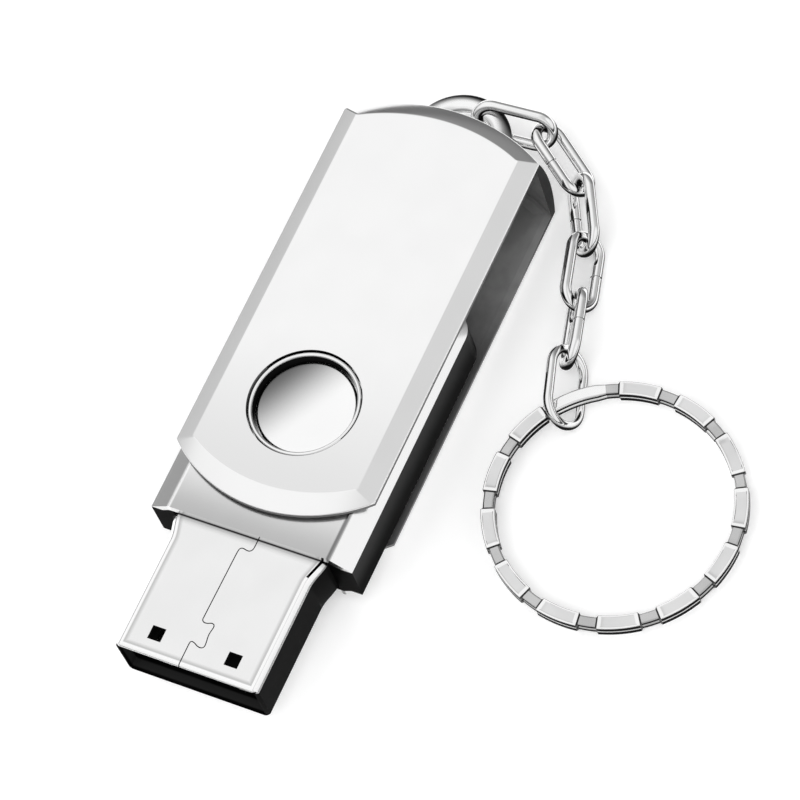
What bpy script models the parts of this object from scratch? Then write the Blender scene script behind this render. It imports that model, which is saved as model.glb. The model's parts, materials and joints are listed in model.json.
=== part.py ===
"""Swivel USB flash drive with a key chain. Metres, +Z up.

A U-bent metal cover holds the drive body between its two plates. The body turns in the
cover on two round pivot discs. A wire loop on the cover's bend carries a short chain,
which ends in a split key ring. The drive lies on its cover, and the chain and the ring
lie beside it.

The origin is the centre of the cover's flat underside. +X points out of the plug and +Y
is the side where the chain lies. Heights of the drive are counted from its middle plane.
"""

from math import asin, cos, pi, radians, sin, sqrt, tan

import bmesh
import bpy
from mathutils import Euler, Matrix, Vector

MM = 0.001
GAP = 0.05 * MM  # between pieces that touch
BORE_LENGTH = 30.0 * MM  # through-cutters are this long

# Cover: a plate outline with an arc at each end, bevelled on all sides.
COVER_THICK = 8.6 * MM
COVER_BEVEL_DEPTH = 0.7 * MM
SHEET = 0.6 * MM
COVER_EDGE = {"half": 8.35 * MM, "near": 8.82 * MM, "near_corner": 5.6 * MM,
              "far": -27.08 * MM, "far_corner": -24.7 * MM}
COVER_FLAT = {"half": 6.9 * MM, "near": 7.1 * MM, "near_corner": 5.2 * MM,
              "far": -25.68 * MM, "far_corner": -24.1 * MM}
COVER_RIM = 0.35 * MM  # the plates' upright edge, past the bevel
COVER_ROUND = 0.06 * MM
BEND_BULGE = 0.55 * MM  # how far the bend's middle stands out past its edges
POCKET_INSET = 0.12  # the share of the bevel that the pocket's upright wall starts at
ARC_STEPS = 20

# Pivot: the middle of the drive, on the Z axis through both holes.
PIVOT_X = 9.3 * MM
MID_Z = COVER_THICK / 2
PIVOT = Vector((PIVOT_X, 0.0, MID_Z))
HOLE_RADIUS = 4.45 * MM
RING_WALL = 0.38 * MM
RING_LIP = 0.12 * MM  # the chamfer on the ring's outer rim
RING_FLOAT = 0.15 * MM  # between the ring and the body
RING_SINK = 0.1 * MM  # how far the ring's rim is below the cover's face
DISC_RADIUS = 3.9 * MM
DISC_TOP = 3.5 * MM
DISC_STEM_RADIUS = 1.4 * MM
DISC_EDGE = 0.14 * MM
STEM_PAST_WALL = 0.2 * MM  # how far a disc's stem shows inside the casing

# Body: an eight-sided section, bevelled above and below its black frame.
BODY_FRONT = 10.7 * MM
BODY_REAR = 11.8 * MM
BODY_HALF_WIDTH = 8.45 * MM
BODY_HALF_THICK = 3.0 * MM
BODY_CHAMFER = 1.75 * MM
FRAME_HALF_HEIGHT = 1.8 * MM
REAR_RADIUS = 2.0 * MM
CASING_TOP_WALL = 0.65 * MM
CASING_SIDE_WALL = 0.5 * MM
CASING_EDGE = 0.07 * MM
FRAME_WALL = 1.2 * MM
LEDGE_WIDTH = 0.9 * MM

# Plug: the standard USB-A shell.
PLUG_TIP = 21.9 * MM
PLUG_WIDTH = 12.0 * MM
PLUG_HEIGHT = 4.5 * MM
PLUG_SHEET = 0.3 * MM
PLUG_REAR = 3.0 * MM
PLUG_CORNER = 0.45 * MM
PLUG_FLARE = 0.45 * MM  # how much each side widens where the plug enters the body
PLUG_FLARE_END = 12.8 * MM
PLUG_LIP = 0.06 * MM  # the chamfer round the shell's mouth
WINDOW_SIZE = 1.1 * MM
WINDOW_X = 20.1 * MM
WINDOW_Y = 3.2 * MM
SEAM_WIDTH = 0.09 * MM
TONGUE_TIP = 20.2 * MM
TONGUE_HALF_WIDTH = 5.25 * MM
TONGUE_TOP = -0.15 * MM
CONTACT_THICK = 0.15 * MM
CONTACT_WIDTH = 1.0 * MM
CONTACT_Y = (-3.5 * MM, -1.0 * MM, 1.0 * MM, 3.5 * MM)
BOARD_THICK = 0.8 * MM

# Key loop: a half ring of wire, riveted through the bend.
LOOP_X = -17.4 * MM
LOOP_RADIUS = 3.33 * MM
LOOP_WIRE = 0.57 * MM
LOOP_LEG_END = -16.3 * MM
RIVET_RADIUS = 1.5 * LOOP_WIRE
RIVET_DEPTH = 0.4 * MM

# Chain: oval wire links, then a slimmer and wider one that holds the key ring.
LINK_LENGTH = 7.0 * MM
LINK_WIDTH = 3.5 * MM
LINK_WIRE = 0.425 * MM
END_LINK_WIDTH = 4.15 * MM
END_LINK_WIRE = 0.36 * MM
LINK_GAP = 0.3 * MM
CHAIN_HEADINGS = (98.0, 55.0, 28.0, 16.0, 16.0, 18.0)  # degrees about Z, link by link
CHAIN_ROLLS = (62.0, -41.0, 54.0, -47.0, 63.0, -56.0)  # degrees about each link's length
CHAIN_HEIGHTS = (3.6 * MM, 2.1 * MM, 1.5 * MM, 1.65 * MM, 1.85 * MM, 1.9 * MM)  # of their far ends
LOOP_CROSSING = 44.0  # degrees round the loop to where the first link crosses it
CROSSING_REACH = 1.3 * MM  # along the first link, from its contact point to the crossing

# Key ring: two turns of flat wire, with a step from the lower turn to the upper.
RING_OUTER = 10.0 * MM
RING_BAND = 1.1 * MM
RING_COIL = 0.55 * MM
RING_HEADING = 51.0
RING_GAP = 0.6 * MM  # from the last contact point to the ring's inner edge
RING_STEP_ANGLE = 24.0
RING_STEP_START = 96.0
RING_LIFT = 1.05 * MM  # the link under its near side raises the ring there
RING_STEPS = 132
RING_END_GAP = 2.0  # degrees between the wire's ends and the step


# ---------------------------------------------------------------- helpers

def clear_scene():
    for obj in list(bpy.data.objects):
        bpy.data.objects.remove(obj)


def new_collection(name):
    collection = bpy.data.collections.new(name)
    bpy.context.scene.collection.children.link(collection)
    return collection


def principled(name, colour, metallic, roughness):
    material = bpy.data.materials.new(name)
    material.use_nodes = True
    shader = material.node_tree.nodes["Principled BSDF"]
    shader.inputs["Base Color"].default_value = (*colour, 1.0)
    shader.inputs["Metallic"].default_value = metallic
    shader.inputs["Roughness"].default_value = roughness
    return material


def chrome(name):
    return principled(name + "_chrome", (0.86, 0.86, 0.87), 1.0, 0.12)


def black_plastic(name):
    return principled(name + "_black", (0.012, 0.012, 0.012), 0.0, 0.3)


def gold(name):
    return principled(name + "_gold", (0.85, 0.6, 0.2), 1.0, 0.25)


def object_from_bmesh(bm, name, collection, material=None):
    bmesh.ops.recalc_face_normals(bm, faces=bm.faces)
    mesh = bpy.data.meshes.new(name)
    bm.to_mesh(mesh)
    bm.free()
    obj = bpy.data.objects.new(name, mesh)
    collection.objects.link(obj)
    if material:
        mesh.materials.append(material)
    return obj


def smooth(obj, angle=30.0):
    obj.data.shade_smooth()
    obj.data.set_sharp_from_angle(angle=radians(angle))


def loft(name, rings, collection, material=None, wrap=False):
    """A solid through rings of equal length: capped at both ends, or wrapped into a tube."""
    bm = bmesh.new()
    loops = [[bm.verts.new(point) for point in ring] for ring in rings]
    pairs = list(zip(loops, loops[1:]))
    if wrap:
        pairs.append((loops[-1], loops[0]))
    else:
        bm.faces.new(loops[0])
        bm.faces.new(loops[-1])
    count = len(rings[0])
    for low, high in pairs:
        for i in range(count):
            j = (i + 1) % count
            bm.faces.new((low[i], low[j], high[j], high[i]))
    return object_from_bmesh(bm, name, collection, material)


def box(name, low, high, collection, material=None):
    """An upright box between two corners."""
    bm = bmesh.new()
    bmesh.ops.create_cube(bm, size=1.0)
    low, high = Vector(low), Vector(high)
    for vert in bm.verts:
        vert.co = (low + high) / 2 + Vector(a * b for a, b in zip(vert.co, high - low))
    return object_from_bmesh(bm, name, collection, material)


def cylinder(name, centre, axis, radius, depth, collection, segments=32):
    """A round bar along a row axis, centred on a point."""
    bm = bmesh.new()
    bmesh.ops.create_cone(bm, cap_ends=True, segments=segments, radius1=radius,
                          radius2=radius, depth=depth)
    turn = Vector((0, 0, 1)).rotation_difference(Vector(axis)).to_matrix().to_4x4()
    bm.transform(Matrix.Translation(centre) @ turn)
    return object_from_bmesh(bm, name, collection)


def turned(name, profile, collection, material, segments=64):
    """A solid of revolution about Z. The profile goes from the axis, over the outer side
    from top to bottom, and back to the axis."""
    mesh = bpy.data.meshes.new(name)
    points = [(r, 0.0, z) for r, z in profile]
    edges = [(i, i + 1) for i in range(len(points) - 1)]
    mesh.from_pydata(points, edges, [])
    mesh.materials.append(material)
    obj = bpy.data.objects.new(name, mesh)
    collection.objects.link(obj)
    screw = obj.modifiers.new("turn", "SCREW")
    screw.steps = segments
    screw.render_steps = segments
    screw.use_merge_vertices = True
    screw.merge_threshold = 0.00001
    return obj


def set_cutter(obj):
    obj.hide_render = True
    obj.display_type = "WIRE"


def boolean(obj, tool, operation="DIFFERENCE"):
    modifier = obj.modifiers.new(operation.lower(), "BOOLEAN")
    modifier.operation = operation
    modifier.object = tool
    modifier.solver = "EXACT"
    set_cutter(tool)


def bevel(obj, width, segments=2, angle=25.0):
    modifier = obj.modifiers.new("edge", "BEVEL")
    modifier.width = width
    modifier.segments = segments
    modifier.limit_method = "ANGLE"
    modifier.angle_limit = radians(angle)
    modifier.use_clamp_overlap = True


def wire(name, points, radius, collection, material, cyclic=False):
    """A round wire along a list of points, as a mesh with closed ends."""
    curve = bpy.data.curves.new(name + "_path", "CURVE")
    curve.dimensions = "3D"
    curve.bevel_depth = radius
    curve.bevel_resolution = 2
    curve.use_fill_caps = not cyclic
    spline = curve.splines.new("POLY")
    spline.points.add(len(points) - 1)
    for target, point in zip(spline.points, points):
        target.co = (*point, 1.0)
    spline.use_cyclic_u = cyclic
    guide = bpy.data.objects.new(name + "_path", curve)
    collection.objects.link(guide)
    bpy.context.view_layer.update()
    evaluated = guide.evaluated_get(bpy.context.evaluated_depsgraph_get())
    mesh = bpy.data.meshes.new_from_object(evaluated)
    bm = bmesh.new()
    bm.from_mesh(mesh)
    bmesh.ops.remove_doubles(bm, verts=bm.verts, dist=0.000001)
    bpy.data.objects.remove(guide)
    obj = object_from_bmesh(bm, name, collection, material)
    smooth(obj, 50.0)
    return obj


def arc(centre, radius, start, end, steps):
    """Points of an arc in the XY plane, angles in degrees."""
    angles = [radians(start + (end - start) * i / steps) for i in range(steps + 1)]
    return [(centre[0] + radius * cos(a), centre[1] + radius * sin(a)) for a in angles]


def parent_keeping_place(obj, empty):
    obj.parent = empty
    obj.matrix_parent_inverse = empty.matrix_world.inverted()


# ---------------------------------------------------------------- cover

def end_arc(corner_x, apex_x, half, sign):
    """An arc across the plate from y = -sign * half to y = sign * half."""
    sag = abs(apex_x - corner_x)
    radius = (half * half + sag * sag) / (2 * sag)
    direction = 1.0 if apex_x > corner_x else -1.0
    centre_x = apex_x - direction * radius
    span = asin(half / radius)
    points = []
    for i in range(ARC_STEPS + 1):
        a = sign * span * (2 * i / ARC_STEPS - 1)
        points.append((centre_x + direction * radius * cos(a), radius * sin(a)))
    return points


def cover_ring(inset, z, far_shift=0.0):
    """The cover's outline at a height. inset is 0 at its edge and 1 at its flat face."""
    size = {k: COVER_EDGE[k] + (COVER_FLAT[k] - COVER_EDGE[k]) * inset for k in COVER_EDGE}
    near = end_arc(size["near_corner"], size["near"], size["half"], 1)
    far = end_arc(size["far_corner"] - far_shift, size["far"] - far_shift, size["half"], -1)
    return [Vector((PIVOT_X + x, y, z)) for x, y in near + far]


def make_cover(collection, cutters):
    top = COVER_THICK
    edge = COVER_BEVEL_DEPTH
    rings = [cover_ring(1, 0.0), cover_ring(0, edge)]
    for share in (0.2, 0.5, 0.8):
        z = edge + (top - 2 * edge) * share
        bulge = BEND_BULGE * (1 - (2 * share - 1) ** 2)
        rings.append(cover_ring(0, z, bulge))
    rings += [cover_ring(0, top - edge), cover_ring(1, top)]
    cover = loft("swivel_cover", rings, collection, chrome("swivel_cover"))

    # The bevel keeps the sheet's thickness: its inner side is the outer one, shifted up.
    slope = COVER_EDGE["half"] - COVER_FLAT["half"]
    shift = SHEET * sqrt(1 + (edge / slope) ** 2)
    pocket_low = edge * (1 - POCKET_INSET) + shift
    floor_inset = 1 - (SHEET - shift) / edge
    wall_shift = POCKET_INSET * (COVER_FLAT["far"] - COVER_EDGE["far"]) - SHEET
    pocket = loft("cover_pocket", [
        cover_ring(floor_inset, SHEET),
        cover_ring(POCKET_INSET, pocket_low, wall_shift),
        cover_ring(POCKET_INSET, top - pocket_low, wall_shift),
        cover_ring(floor_inset, top - SHEET),
    ], cutters)
    boolean(cover, pocket)

    # Between the plates the cover is open in front and at both sides.
    slot_low = edge + COVER_RIM
    side = 2 * COVER_EDGE["half"]
    front = PIVOT_X + 2 * COVER_EDGE["near"]
    far = end_arc(COVER_EDGE["far_corner"] + SHEET, COVER_EDGE["far"] + SHEET,
                  COVER_EDGE["half"], -1)
    outline = [(front, -side), (front, side), (PIVOT_X + far[0][0], side)]
    outline += [(PIVOT_X + x, y) for x, y in far] + [(PIVOT_X + far[-1][0], -side)]
    slot = loft("cover_slot", [[Vector((x, y, z)) for x, y in outline]
                               for z in (slot_low, top - slot_low)], cutters)
    boolean(cover, slot)
    boolean(cover, cylinder("cover_hole", PIVOT, (0, 0, 1), HOLE_RADIUS, BORE_LENGTH,
                            cutters, 72))
    for side_name, y in (("left", -LOOP_RADIUS), ("right", LOOP_RADIUS)):
        centre = (LOOP_X, y, MID_Z)
        hole = cylinder("loop_hole_" + side_name, centre, (1, 0, 0), LOOP_WIRE + GAP,
                        4 * MM, cutters, 24)
        boolean(cover, hole)
    bevel(cover, COVER_ROUND, 1, 20.0)
    smooth(cover, 20.0)
    return cover


def make_pivot_ring(name, side, collection):
    """A bright ring that lines the cover's hole. side is 1 above and -1 below."""
    outer = HOLE_RADIUS - GAP
    inner = outer - RING_WALL
    low = BODY_HALF_THICK + RING_FLOAT
    high = COVER_THICK / 2 - RING_SINK
    rings = []
    for r, z in ((inner + RING_LIP, high), (outer - RING_LIP, high), (outer, high - RING_LIP),
                 (outer, low), (inner, low), (inner, high - RING_LIP)):
        rings.append([Vector((PIVOT_X + x, y, MID_Z + side * z))
                      for x, y in arc((0, 0), r, 0, 360, 72)[:-1]])
    ring = loft(name, rings, collection, chrome(name), wrap=True)
    smooth(ring, 50.0)
    return ring


def make_key_loop(collection, cutters):
    arc_points = [(LOOP_X + x, y, MID_Z) for x, y in arc((0, 0), LOOP_RADIUS, 90, 270, 20)]
    first, last = arc_points[0], arc_points[-1]
    path = [(LOOP_LEG_END, first[1], MID_Z), *arc_points, (LOOP_LEG_END, last[1], MID_Z)]
    loop = wire("key_loop", path, LOOP_WIRE, collection, chrome("key_loop"))
    for side_name, y in (("left", -LOOP_RADIUS), ("right", LOOP_RADIUS)):
        head = cylinder("rivet_head_" + side_name, (LOOP_LEG_END, y, MID_Z), (1, 0, 0),
                        RIVET_RADIUS, RIVET_DEPTH, cutters, 24)
        boolean(loop, head, "UNION")
    return loop


# ---------------------------------------------------------------- body

def body_ring(inset, z, front_extra=0.0):
    """The body's outline, moved in at its sides and rear, with round rear corners."""
    half = BODY_HALF_WIDTH - inset
    front = BODY_FRONT + front_extra
    rear = -BODY_REAR + inset
    radius = REAR_RADIUS
    left = arc((rear + radius, half - radius), radius, 90, 180, 8)
    right = arc((rear + radius, radius - half), radius, 180, 270, 8)
    return [Vector((PIVOT_X + x, y, MID_Z + z))
            for x, y in [(front, -half), (front, half), *left, *right]]


def casing_insets():
    """How far the casing's inner side is in from the body's outline, low and high."""
    rise = BODY_HALF_THICK - FRAME_HALF_HEIGHT
    slope = rise / BODY_CHAMFER
    low = CASING_SIDE_WALL * sqrt(1 + 1 / slope ** 2)
    high = low + (rise - CASING_TOP_WALL) / slope
    return low, high, slope


def make_casing(name, side, collection, cutters):
    """One bright half of the body. side is 1 for the upper and -1 for the lower."""
    material = principled(name + "_satin", (0.8, 0.8, 0.81), 1.0, 0.22)
    casing = loft(name, [body_ring(0, side * (FRAME_HALF_HEIGHT + GAP)),
                         body_ring(BODY_CHAMFER, side * BODY_HALF_THICK)],
                  collection, material)
    low, high, slope = casing_insets()
    below = 0.3 * MM  # the hollow starts this far past the casing's open side
    past_front = 2 * MM
    hollow = loft(name + "_hollow", [
        body_ring(low - below / slope, side * (FRAME_HALF_HEIGHT - below), past_front),
        body_ring(high, side * (BODY_HALF_THICK - CASING_TOP_WALL), past_front),
    ], cutters)
    boolean(casing, hollow)
    hole = cylinder(name + "_hole", PIVOT + Vector((0, 0, side * BODY_HALF_THICK)),
                    (0, 0, 1), DISC_STEM_RADIUS + GAP, 2 * MM, cutters)
    boolean(casing, hole)
    bevel(casing, CASING_EDGE, 1)
    smooth(casing, 25.0)
    return casing


def make_frame(collection, cutters):
    """The black middle of the body: side walls, rear wall and two front posts."""
    low, high, _ = casing_insets()
    step = FRAME_HALF_HEIGHT - 0.5 * GAP
    lip = BODY_HALF_THICK - CASING_TOP_WALL - GAP
    lip_in = 2 * GAP
    foot = step + 0.02 * MM  # the lip starts just above the side wall's top
    rings = [body_ring(high + lip_in, -lip), body_ring(low + lip_in, -foot),
             body_ring(0, -step), body_ring(0, step),
             body_ring(low + lip_in, foot), body_ring(high + lip_in, lip)]
    frame = loft("body_frame", rings, collection, black_plastic("body_frame"))
    rear = PIVOT_X - BODY_REAR + FRAME_WALL
    front = PIVOT_X + BODY_FRONT - FRAME_WALL
    half = BODY_HALF_WIDTH - FRAME_WALL
    board_low = MID_Z + TONGUE_TOP - BOARD_THICK - GAP
    low_half = half - LEDGE_WIDTH
    boolean(frame, box("frame_bay", (rear, -half, board_low),
                       (front, half, 2 * COVER_THICK), cutters))
    boolean(frame, box("frame_floor", (rear + LEDGE_WIDTH, -low_half, -COVER_THICK),
                       (front - LEDGE_WIDTH, low_half, MID_Z), cutters))
    mouth = PLUG_WIDTH / 2 + PLUG_FLARE + GAP
    boolean(frame, box("frame_mouth",
                       (PIVOT_X + PLUG_REAR - 2 * GAP, -mouth, -COVER_THICK),
                       (PIVOT_X + PLUG_TIP, mouth, 2 * COVER_THICK), cutters))
    smooth(frame, 25.0)
    return frame


def make_pivot_disc(name, side, collection):
    """The round disc that turns in the cover's hole, with a stem into the casing."""
    seat = BODY_HALF_THICK + GAP
    stem_end = BODY_HALF_THICK - CASING_TOP_WALL - STEM_PAST_WALL
    profile = [(0.0, DISC_TOP), (DISC_RADIUS - DISC_EDGE, DISC_TOP),
               (DISC_RADIUS - 0.3 * DISC_EDGE, DISC_TOP - 0.3 * DISC_EDGE),
               (DISC_RADIUS, DISC_TOP - DISC_EDGE), (DISC_RADIUS, seat),
               (DISC_STEM_RADIUS, seat), (DISC_STEM_RADIUS, stem_end), (0.0, stem_end)]
    disc = turned(name, profile, collection, chrome(name))
    disc.location = PIVOT
    if side < 0:
        disc.rotation_euler = Euler((pi, 0.0, 0.0))
    smooth(disc, 50.0)
    return disc


# ---------------------------------------------------------------- plug

def plug_half_width(x):
    """Half the shell's width at a distance from the pivot: it widens at the body."""
    start = BODY_FRONT - 0.2 * MM
    share = min(1.0, max(0.0, (x - start) / (PLUG_FLARE_END - start)))
    return PLUG_WIDTH / 2 + PLUG_FLARE * (1 - share * share * (3 - 2 * share))


def plug_ring(x, inset):
    """A rounded rectangle across the plug."""
    half_y = plug_half_width(x) - inset
    half_z = PLUG_HEIGHT / 2 - inset
    radius = max(PLUG_CORNER - inset, 0.12 * MM)
    points = []
    for quarter, (sy, sz) in enumerate(((1, 1), (-1, 1), (-1, -1), (1, -1))):
        centre = (sy * (half_y - radius), sz * (half_z - radius))
        points += arc(centre, radius, 90 * quarter, 90 * quarter + 90, 4)
    return [Vector((PIVOT_X + x, y, MID_Z + z)) for y, z in points]


def seam_path():
    """The seam along the shell's top: two straight runs with a dovetail between them."""
    tip = PLUG_TIP + 1 * MM
    lock = [(19.87, -0.52), (19.76, -0.40), (19.82, -0.15), (20.0, 0.15), (20.04, 0.5),
            (19.85, 0.69), (19.45, 0.65), (19.05, 0.57), (18.65, 0.57), (18.25, 0.66),
            (18.0, 0.6), (17.95, 0.35), (18.1, 0.05), (18.1, -0.27), (17.92, -0.43)]
    step = [(11.85, -0.33), (11.67, -0.15), (11.7, 0.2), (11.78, 0.5), (11.6, 0.74)]
    points = [(tip, -0.52 * MM)] + [(x * MM, y * MM) for x, y in lock + step]
    points.append((PLUG_REAR - 1 * MM, 0.78 * MM))
    return points


def make_seam_cutter(cutters):
    """A thin upright ribbon along the seam."""
    bm = bmesh.new()
    low, high = MID_Z + PLUG_HEIGHT / 2 - 2 * PLUG_SHEET, MID_Z + PLUG_HEIGHT / 2 + 1 * MM
    columns = []
    for x, y in seam_path():
        columns.append([bm.verts.new((PIVOT_X + x, y, z)) for z in (low, high)])
    for a, b in zip(columns, columns[1:]):
        bm.faces.new((a[0], b[0], b[1], a[1]))
    ribbon = object_from_bmesh(bm, "plug_seam", cutters)
    solid = ribbon.modifiers.new("width", "SOLIDIFY")
    solid.thickness = SEAM_WIDTH
    solid.offset = 0.0
    return ribbon


def make_plug_shell(collection, cutters):
    material = principled("plug_shell_steel", (0.82, 0.82, 0.83), 1.0, 0.2)
    stations = [PLUG_REAR, BODY_FRONT - 0.2 * MM]
    stations += [BODY_FRONT + (PLUG_FLARE_END - BODY_FRONT) * i / 6 for i in range(7)]
    rings = [plug_ring(x, 0.0) for x in stations]
    rings += [plug_ring(PLUG_TIP - PLUG_LIP, 0.0), plug_ring(PLUG_TIP, PLUG_LIP)]
    rings += [plug_ring(PLUG_TIP, PLUG_SHEET - PLUG_LIP),
              plug_ring(PLUG_TIP - PLUG_LIP, PLUG_SHEET)]
    rings += [plug_ring(x, PLUG_SHEET) for x in reversed(stations)]
    shell = loft("plug_shell", rings, collection, material, wrap=True)
    half = WINDOW_SIZE / 2
    for index, y in enumerate((-WINDOW_Y, WINDOW_Y)):
        low = (PIVOT_X + WINDOW_X - half, y - half, 0.0)
        high = (PIVOT_X + WINDOW_X + half, y + half, COVER_THICK)
        boolean(shell, box(f"plug_window_{index}", low, high, cutters))
    boolean(shell, make_seam_cutter(cutters))
    boolean(shell, make_corner_slit(cutters))
    smooth(shell, 40.0)
    return shell


def make_corner_slit(cutters):
    """A slanting relief cut at the shell's shoulder, by the body."""
    length, width = 1.9 * MM, 0.16 * MM
    slit = box("plug_relief", (-length / 2, -width / 2, -1 * MM),
               (length / 2, width / 2, 1 * MM), cutters)
    slit.location = (PIVOT_X + 11.35 * MM, 5.85 * MM, MID_Z + PLUG_HEIGHT / 2)
    slit.rotation_euler = Euler((0.0, 0.0, radians(-18.0)))
    return slit


def make_tongue(collection):
    low = (PIVOT_X + PLUG_REAR + 0.3 * MM, -TONGUE_HALF_WIDTH,
           MID_Z - PLUG_HEIGHT / 2 + PLUG_SHEET + GAP)
    high = (PIVOT_X + TONGUE_TIP, TONGUE_HALF_WIDTH, MID_Z + TONGUE_TOP)
    material = principled("plug_tongue_plastic", (0.015, 0.015, 0.017), 0.0, 0.4)
    tongue = box("plug_tongue", low, high, collection, material)
    bevel(tongue, 0.1 * MM)
    return tongue


def make_contacts(collection):
    names = ("contact_power", "contact_data_minus", "contact_data_plus", "contact_ground")
    contacts = []
    for name, y in zip(names, CONTACT_Y):
        outer_pin = abs(y) > 2 * MM
        tip = TONGUE_TIP - (0.4 if outer_pin else 1.4) * MM
        low = (PIVOT_X + 0.4 * MM, y - CONTACT_WIDTH / 2, MID_Z + TONGUE_TOP + GAP)
        high = (PIVOT_X + tip, y + CONTACT_WIDTH / 2, MID_Z + TONGUE_TOP + GAP + CONTACT_THICK)
        contacts.append(box(name, low, high, collection, gold(name)))
    return contacts


# ---------------------------------------------------------------- electronics

def on_board(name, centre, size, collection, material, under=False):
    """A component that sits on the board's upper side, or hangs under its lower side."""
    top = MID_Z + TONGUE_TOP
    base = top - BOARD_THICK - GAP - size[2] if under else top + GAP
    low = (PIVOT_X + centre[0] - size[0] / 2, centre[1] - size[1] / 2, base)
    high = (PIVOT_X + centre[0] + size[0] / 2, centre[1] + size[1] / 2, base + size[2])
    return box(name, low, high, collection, material)


def make_electronics(collection):
    top = MID_Z + TONGUE_TOP
    half = BODY_HALF_WIDTH - FRAME_WALL - 0.2 * MM
    rear = PIVOT_X - BODY_REAR + FRAME_WALL + 0.2 * MM
    green = principled("circuit_board_green", (0.02, 0.16, 0.06), 0.0, 0.4)
    board = box("circuit_board", (rear, -half, top - BOARD_THICK),
                (PIVOT_X + PLUG_REAR - 0.2 * MM, half, top), collection, green)
    pieces = [board]
    resin = principled("chip_resin", (0.02, 0.02, 0.022), 0.0, 0.5)
    pieces.append(on_board("memory_chip", (-3.7 * MM, 0.0), (6.4 * MM, 9.6 * MM, 1.0 * MM),
                           collection, resin))
    resin_small = principled("controller_resin", (0.025, 0.025, 0.03), 0.0, 0.5)
    pieces.append(on_board("controller_chip", (-3.2 * MM, 0.0), (5.0 * MM, 5.0 * MM, 0.75 * MM),
                           collection, resin_small, under=True))
    can = principled("crystal_can", (0.7, 0.7, 0.7), 1.0, 0.3)
    pieces.append(on_board("crystal", (-8.6 * MM, 3.2 * MM), (1.6 * MM, 3.2 * MM, 0.7 * MM),
                           collection, can))
    for index in range(3):
        tan_body = principled(f"capacitor_{index + 1}_tan", (0.5, 0.33, 0.17), 0.0, 0.5)
        centre = (-8.6 * MM, (-0.4 - 1.9 * index) * MM)
        pieces.append(on_board(f"capacitor_{index + 1}", centre,
                               (0.6 * MM, 1.2 * MM, 0.6 * MM), collection, tan_body))
    for index in range(2):
        dark = principled(f"resistor_{index + 1}_dark", (0.03, 0.03, 0.03), 0.0, 0.5)
        centre = (1.6 * MM, (-5.6 + 11.2 * index) * MM)
        pieces.append(on_board(f"resistor_{index + 1}", centre,
                               (1.2 * MM, 0.6 * MM, 0.4 * MM), collection, dark))
    return pieces


# ---------------------------------------------------------------- chain and key ring

def link_pitch(wire_radius):
    """From one end's contact point to the other's."""
    return LINK_LENGTH - 4 * wire_radius - LINK_GAP


def link_path(width, wire_radius):
    """An oval in the XY plane, whose first contact point is the origin."""
    radius = width / 2 - wire_radius
    run = LINK_LENGTH / 2 - wire_radius - radius
    middle = link_pitch(wire_radius) / 2
    front = arc((middle + run, 0.0), radius, -90, 90, 12)
    back = arc((middle - run, 0.0), radius, 90, 270, 12)
    return [(x, y, 0.0) for x, y in front + back]


def along_link(heading, fall):
    """A link's direction, from its heading in degrees and its fall in radians."""
    a = radians(heading)
    return Vector((cos(a) * cos(fall), sin(a) * cos(fall), -sin(fall)))


def first_contact():
    """Where the first link hangs on the loop, so that it crosses the loop's own wire."""
    a = radians(LOOP_CROSSING)
    crossing = Vector((LOOP_X - LOOP_RADIUS * cos(a), LOOP_RADIUS * sin(a), MID_Z))
    fall = asin((MID_Z - CHAIN_HEIGHTS[0]) / (link_pitch(LINK_WIRE) - CROSSING_REACH))
    return crossing - along_link(CHAIN_HEADINGS[0], fall) * CROSSING_REACH


def make_chain(collection):
    """The links from the loop to the key ring. Returns the last contact point."""
    point = first_contact()
    last = len(CHAIN_HEADINGS) - 1
    for index, (heading, roll) in enumerate(zip(CHAIN_HEADINGS, CHAIN_ROLLS)):
        name = f"chain_link_{index + 1}"
        slim = index == last
        radius = END_LINK_WIRE if slim else LINK_WIRE
        width = END_LINK_WIDTH if slim else LINK_WIDTH
        link = wire(name, link_path(width, radius), radius, collection, chrome(name), True)
        fall = asin((point.z - CHAIN_HEIGHTS[index]) / link_pitch(radius))
        link.location = point
        link.rotation_euler = Euler((radians(roll), fall, radians(heading)))
        point = point + along_link(heading, fall) * link_pitch(radius)
    return point


def ring_height(angle):
    """The wire's height on its way round: low for a turn, then high, with a smooth step."""
    rise = RING_COIL + GAP
    share = min(1.0, max(0.0, (angle - (360.0 - RING_STEP_ANGLE)) / RING_STEP_ANGLE))
    return rise * (share * share * (3 - 2 * share) - 0.5)


def make_key_ring(collection, contact):
    """Two turns of flat wire, leaning on the last link and lying on the ground beyond."""
    inner = RING_OUTER - RING_BAND
    total = 720.0 - RING_STEP_ANGLE - RING_END_GAP
    rings = []
    for i in range(RING_STEPS + 1):
        angle = total * i / RING_STEPS
        a = radians(angle + RING_STEP_START)
        z = ring_height(angle)
        corners = ((inner, z - RING_COIL / 2), (RING_OUTER, z - RING_COIL / 2),
                   (RING_OUTER, z + RING_COIL / 2), (inner, z + RING_COIL / 2))
        rings.append([Vector((r * cos(a), r * sin(a), h)) for r, h in corners])
    ring = loft("key_ring", rings, collection, chrome("key_ring"))
    heading = radians(RING_HEADING)
    reach = inner - RING_GAP
    away = Vector((cos(heading), sin(heading), 0.0))
    tilt = asin(RING_LIFT / (RING_OUTER + reach))
    centre = Vector((contact.x, contact.y, 0.0)) + away * reach
    stack = RING_COIL + GAP / 2
    centre.z = stack + RING_OUTER * tan(tilt) + 0.02 * MM
    for vert in ring.data.vertices:
        vert.co.x += reach
    ring.rotation_euler = Euler((0.0, tilt, heading))
    ring.location = centre - ring.rotation_euler.to_matrix() @ Vector((reach, 0.0, 0.0))
    smooth(ring, 30.0)
    return ring


# ---------------------------------------------------------------- assembly

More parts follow.
